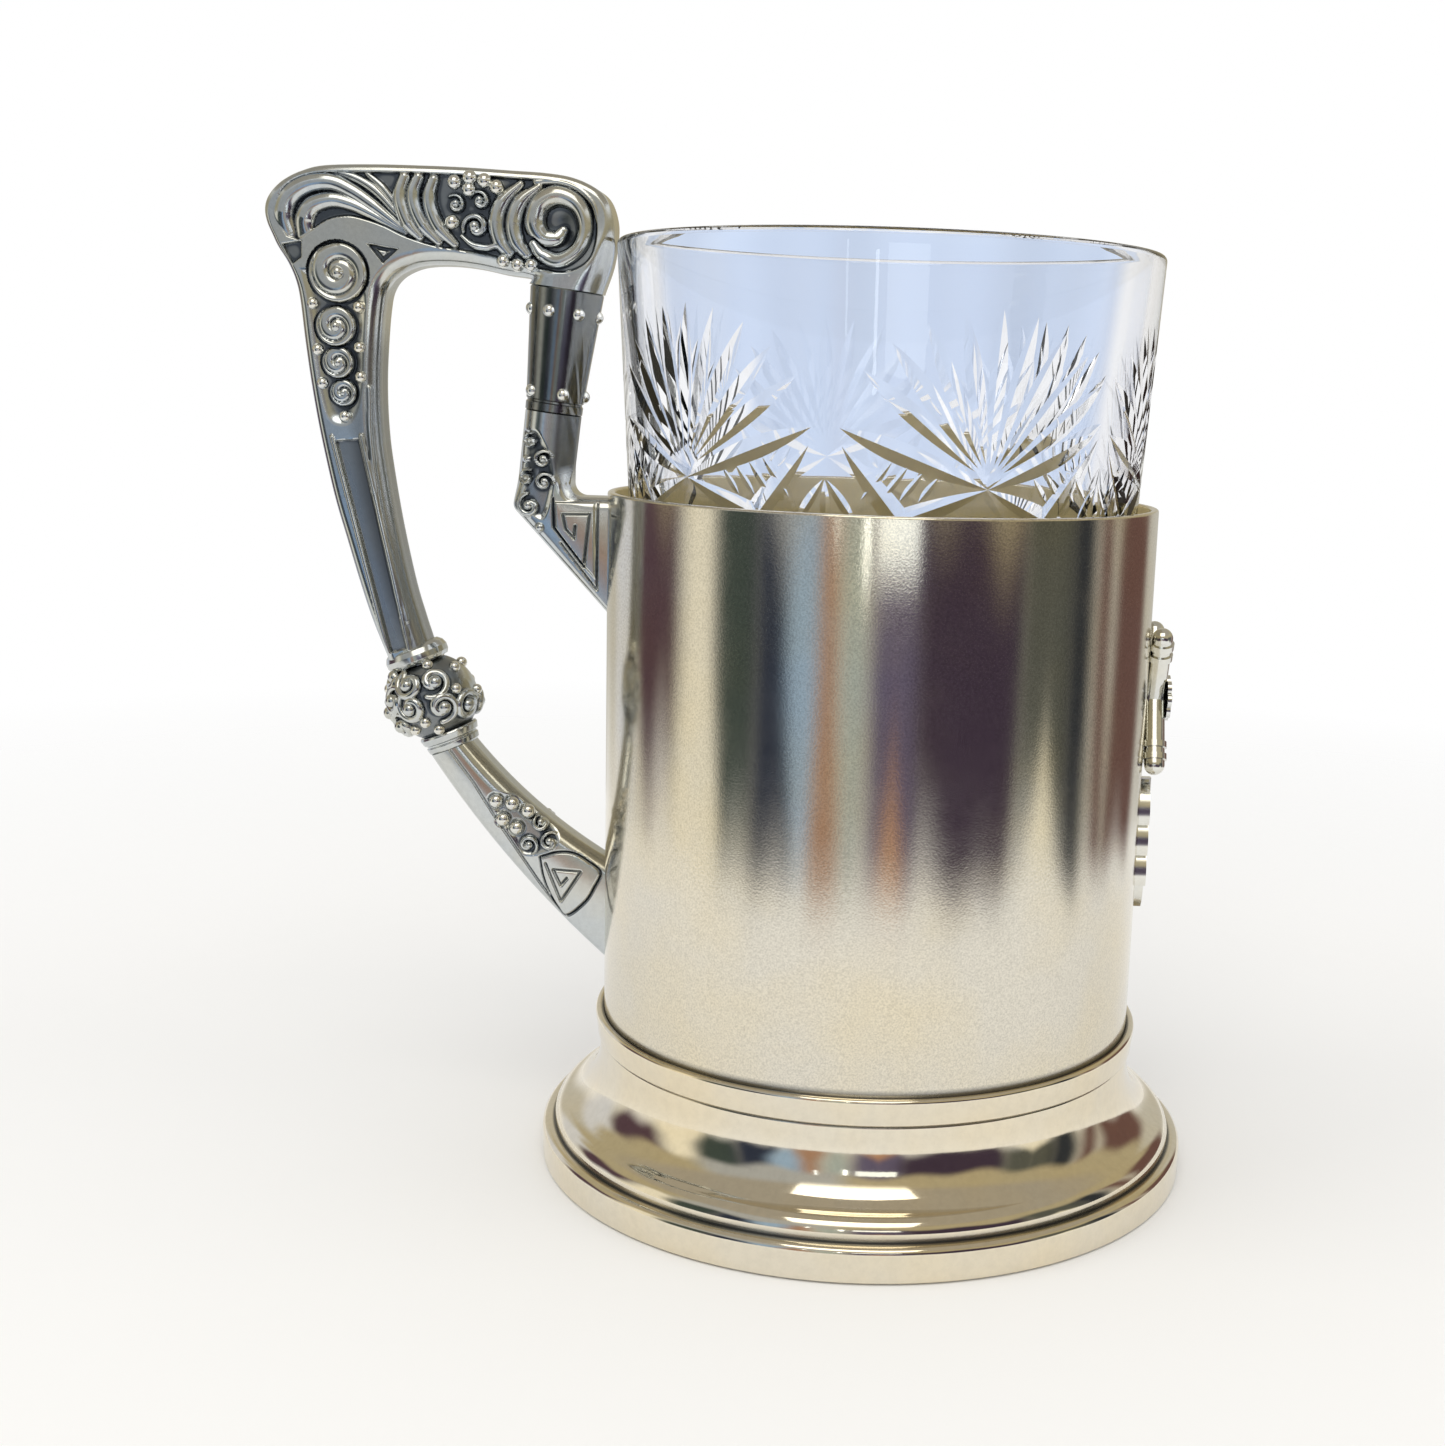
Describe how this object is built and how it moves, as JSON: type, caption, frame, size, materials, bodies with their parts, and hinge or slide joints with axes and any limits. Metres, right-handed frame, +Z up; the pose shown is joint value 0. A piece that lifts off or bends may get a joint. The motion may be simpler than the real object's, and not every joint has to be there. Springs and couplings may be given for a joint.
{
  "type": "tea glass holder with tumbler",
  "caption": "Podstakannik: a plated tea glass holder with a spun foot and a cast scroll handle, carrying a cut crystal tumbler that lifts out.",
  "frame": {"origin": "centre of the foot ring on the table", "axes": "+Z up along the holder's axis, the handle towards -X, the emblem towards +X, and the side in the picture towards -Y"},
  "size_m": [0.1201, 0.086, 0.1254],
  "materials": {
    "wall_plate": "satin silver plate",
    "foot_plate": "polished silver plate",
    "cast_silver": "cast, patinated silver plate",
    "raised_silver": "cast, rubbed bright silver plate",
    "sleeve_silver": "turned, polished silver plate",
    "gilt": "gilt",
    "steel": "turned",
    "crystal": "clear, wheel cut"
  },
  "bodies": {
    "holder": {"holder_wall": "wall_plate", "floor_disc": "gilt", "collar_ring": "foot_plate", "foot_cove": "foot_plate", "foot_rim": "foot_plate", "handle_bow": "cast_silver", "crown_leaves": "raised_silver", "crown_volutes": "raised_silver", "bow_scrolls": "raised_silver", "bow_granules": "raised_silver", "post_sleeve": "sleeve_silver", "sleeve_rivets": "raised_silver", "post_rod": "steel", "post_bracket": "cast_silver", "bracket_scrolls": "raised_silver", "bracket_key": "raised_silver", "knot_upper_collar": "sleeve_silver", "knot_ball": "cast_silver", "knot_scrolls": "raised_silver", "knot_granules": "raised_silver", "knot_lower_collar": "sleeve_silver", "knot_dowel": "steel", "lower_arm": "cast_silver", "lower_arm_granules": "raised_silver", "lower_arm_scrolls": "raised_silver", "lower_arm_shield": "raised_silver", "emblem_batons": "raised_silver", "emblem_rosette": "raised_silver", "emblem_leaves": "raised_silver", "emblem_rivets": "gilt"},
    "glass": {"tumbler": "crystal"}
  },
  "joints": [
    {"name": "glass_lift", "type": "slide", "parent": "holder", "child": "glass", "axis": [0, 0, 1], "range_m": [0, 0.105]}
  ]
}
